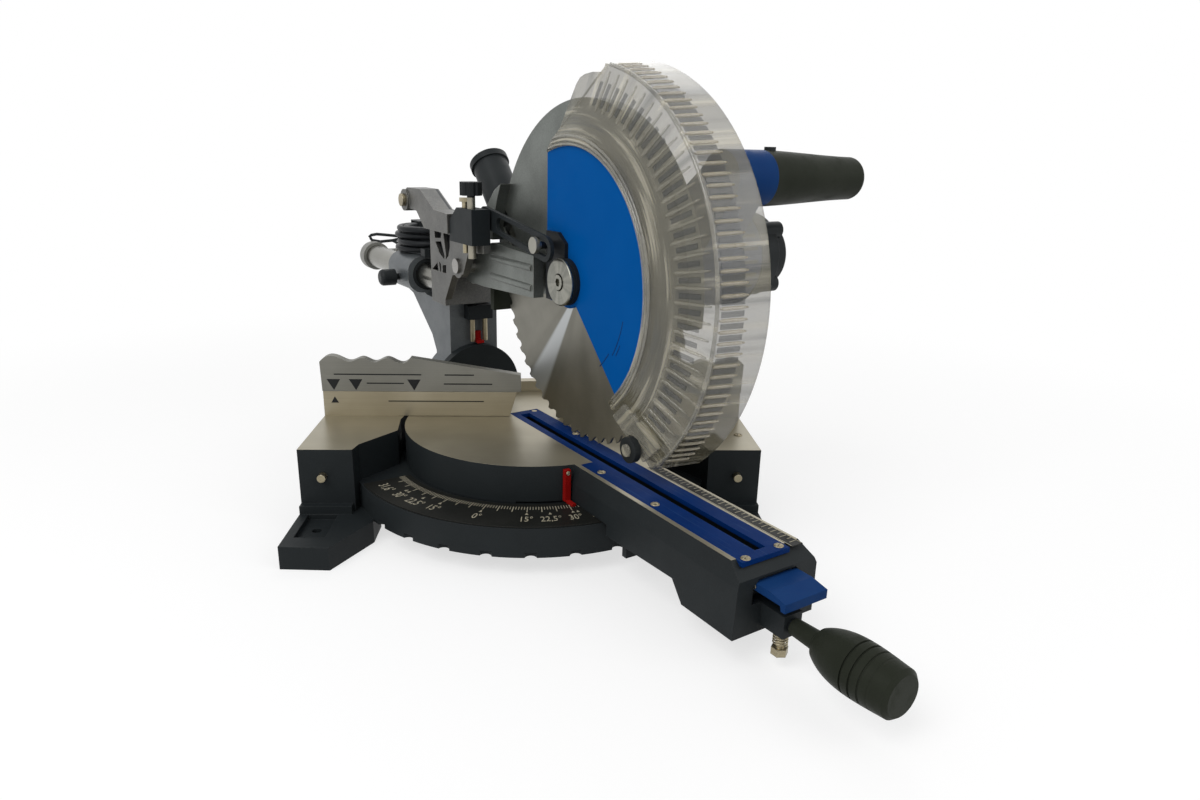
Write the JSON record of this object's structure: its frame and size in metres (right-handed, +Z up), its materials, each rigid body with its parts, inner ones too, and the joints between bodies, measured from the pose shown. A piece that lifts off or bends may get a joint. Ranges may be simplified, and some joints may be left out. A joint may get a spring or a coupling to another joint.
{
  "type": "mitre saw",
  "caption": "Sliding compound mitre saw: round saw blade in a lifting guarded head on rails and a tilting column, over a turning slotted table with fence, scale and front lock.",
  "frame": {"origin": "centre of the four bench bolt holes on the bench plane, on the turntable's axis", "axes": "+Z up from the bench, +Y away from the user towards the fence, +X to the user's right"},
  "size_m": [0.5526, 0.8089, 0.4358],
  "materials": {
    "black_casting": "fine black powder coat",
    "machined": "machined and brushed top",
    "grey_casting": "grey cast aluminium",
    "black_plastic": "moulded black plastic",
    "blue_plastic": "moulded royal blue plastic",
    "clear_plastic": "clear smoky polycarbonate",
    "steel": "bright steel",
    "brass": "yellow zinc plate",
    "red": "red pointer",
    "rubber": "black rubber",
    "scale": "black plate with pale lines",
    "chrome_rail": "hard chrome",
    "copper": "windings and laminations"
  },
  "bodies": {
    "base": {"base_casting": "black_casting", "mitre_scale": "scale", "fixed_fence": "machined", "base_fasteners": "steel"},
    "turntable": {"turntable_casting": "black_casting", "kerf_insert": "blue_plastic", "arm_ruler": "scale", "mitre_pointer": "red", "bevel_hub": "black_casting", "rod_guide": "grey_casting", "strap_spring": "steel", "arm_fasteners": "steel"},
    "mitre_lock": {"lock_rod": "steel", "lock_grip": "black_plastic"},
    "detent": {"detent_lever": "blue_plastic"},
    "bevel_clamp": {"bevel_lever": "black_plastic"},
    "column": {"bevel_column": "grey_casting", "bevel_stop_block": "black_plastic", "bevel_stop_bolts": "brass", "bevel_pointer": "red", "rail_bushes": "brass", "cord_coil": "rubber", "cord_holders": "black_plastic", "cord_plug": "rubber"},
    "slide_lock": {"slide_lock_knob": "black_plastic"},
    "carriage": {"slide_rails": "chrome_rail", "rail_end_cap": "black_plastic", "carrier_casting": "grey_casting", "carrier_screws": "steel", "chop_pivot_pin": "steel", "stop_block": "black_plastic"},
    "depth_stop": {"depth_stop_screw": "black_plastic"},
    "head": {"head_casting": "grey_casting", "dust_port": "black_plastic", "dust_flap": "rubber", "guard_retainer": "steel", "motor_housing": "blue_plastic", "motor_end_cap": "black_plastic", "field_stator": "copper", "bearings": "steel", "drive_belt": "rubber", "handle_grip": "black_plastic"},
    "blade": {"saw_blade": "steel", "blade_flanges": "steel", "arbor_bolt": "steel", "spindle": "steel"},
    "rotor": {"armature": "copper"},
    "trigger": {"trigger": "black_plastic"},
    "lock_off": {"lock_off_button": "black_plastic"},
    "guard": {"guard_plate": "blue_plastic", "guard_crank": "black_plastic", "clear_guard": "clear_plastic", "roller_bracket": "black_plastic"},
    "roller": {"guard_roller": "black_plastic"},
    "link": {"guard_link": "black_plastic"},
    "left_fence": {"fence_slide_left": "machined"},
    "right_fence": {"fence_slide_right": "machined"},
    "left_fence_knob": {"fence_knob_left": "black_plastic"},
    "right_fence_knob": {"fence_knob_right": "black_plastic"}
  },
  "joints": [
    {"name": "mitre_turn", "type": "hinge", "parent": "base", "child": "turntable", "pos_m": [0, 0, 0.06], "axis": [0, 0, -1], "range_deg": [-15, 75]},
    {"name": "mitre_lock_turn", "type": "hinge", "parent": "turntable", "child": "mitre_lock", "pos_m": [0.22, -0.38105, 0.041], "axis": [0.5, -0.866, 0], "range_deg": [0, 180]},
    {"name": "detent_press", "type": "hinge", "parent": "turntable", "child": "detent", "pos_m": [0.1775, -0.30744, 0.065], "axis": [0.866, 0.5, 0], "range_deg": [0, 9], "stiffness_Nm_per_rad": 2, "springref_deg": -5.73},
    {"name": "bevel_clamp_turn", "type": "hinge", "parent": "column", "child": "bevel_clamp", "pos_m": [-0.1, 0.1732, 0.085], "axis": [0.5, -0.866, 0], "range_deg": [0, 45]},
    {"name": "bevel_tilt", "type": "hinge", "parent": "turntable", "child": "column", "pos_m": [-0.085, 0.14722, 0.085], "axis": [0.5, -0.866, 0], "range_deg": [0, 45]},
    {"name": "slide_lock_turn", "type": "hinge", "parent": "column", "child": "slide_lock", "pos_m": [-0.18096, 0.19343, 0.205], "axis": [-0.866, -0.5, 0], "range_deg": [0, 180]},
    {"name": "rail_slide", "type": "slide", "parent": "column", "child": "carriage", "axis": [-0.5, 0.866, 0], "range_m": [-0.117, 0.063]},
    {"name": "depth_stop_turn", "type": "hinge", "parent": "carriage", "child": "depth_stop", "pos_m": [-0.0626, 0.00543, 0.305], "axis": [0, 0, 1], "range_deg": [-180, 180]},
    {"name": "head_chop", "type": "hinge", "parent": "carriage", "child": "head", "pos_m": [-0.043, 0.07448, 0.24], "axis": [-0.866, -0.5, 0], "range_deg": [-5.2, 40]},
    {"name": "blade_spin", "type": "hinge", "parent": "head", "child": "blade", "pos_m": [0.0465, -0.08054, 0.247], "axis": [-0.866, -0.5, 0], "continuous": true},
    {"name": "rotor_spin", "type": "hinge", "parent": "head", "child": "rotor", "pos_m": [0.1506, -0.06085, 0.267], "axis": [-0.866, -0.5, 0], "continuous": true},
    {"name": "trigger_pull", "type": "slide", "parent": "head", "child": "trigger", "axis": [0.5, -0.866, 0], "range_m": [0, 0.005], "stiffness_N_per_m": 600, "springref_m": -0.002},
    {"name": "lock_off_press", "type": "slide", "parent": "head", "child": "lock_off", "axis": [0, 0, -1], "range_m": [0, 0.003], "stiffness_N_per_m": 600, "springref_m": -0.002},
    {"name": "guard_turn", "type": "hinge", "parent": "head", "child": "guard", "pos_m": [0.03264, -0.08854, 0.247], "axis": [-0.866, -0.5, 0], "range_deg": [-53, 8]},
    {"name": "roller_spin", "type": "hinge", "parent": "guard", "child": "roller", "pos_m": [0.08517, -0.17552, 0.11698], "axis": [-0.866, -0.5, 0], "continuous": true},
    {"name": "link_swing", "type": "hinge", "parent": "carriage", "child": "link", "pos_m": [-0.04945, 0.01764, 0.295], "axis": [-0.866, -0.5, 0], "range_deg": [-10, 67]},
    {"name": "left_fence_slide", "type": "slide", "parent": "base", "child": "left_fence", "axis": [-1, 0, 0], "range_m": [0, 0.06]},
    {"name": "right_fence_slide", "type": "slide", "parent": "base", "child": "right_fence", "axis": [1, 0, 0], "range_m": [0, 0.06]},
    {"name": "left_fence_knob_turn", "type": "hinge", "parent": "base", "child": "left_fence_knob", "pos_m": [-0.182, 0.03, 0.107], "axis": [0, 1, 0], "range_deg": [0, 180]},
    {"name": "right_fence_knob_turn", "type": "hinge", "parent": "base", "child": "right_fence_knob", "pos_m": [0.182, 0.03, 0.107], "axis": [0, 1, 0], "range_deg": [0, 180]}
  ],
  "couplings": [
    {"joint": "guard_turn", "follows": "head_chop", "ratio": -1.3},
    {"joint": "link_swing", "follows": "head_chop", "ratio": 1.625},
    {"joint": "rotor_spin", "follows": "blade_spin", "ratio": 2.5}
  ]
}
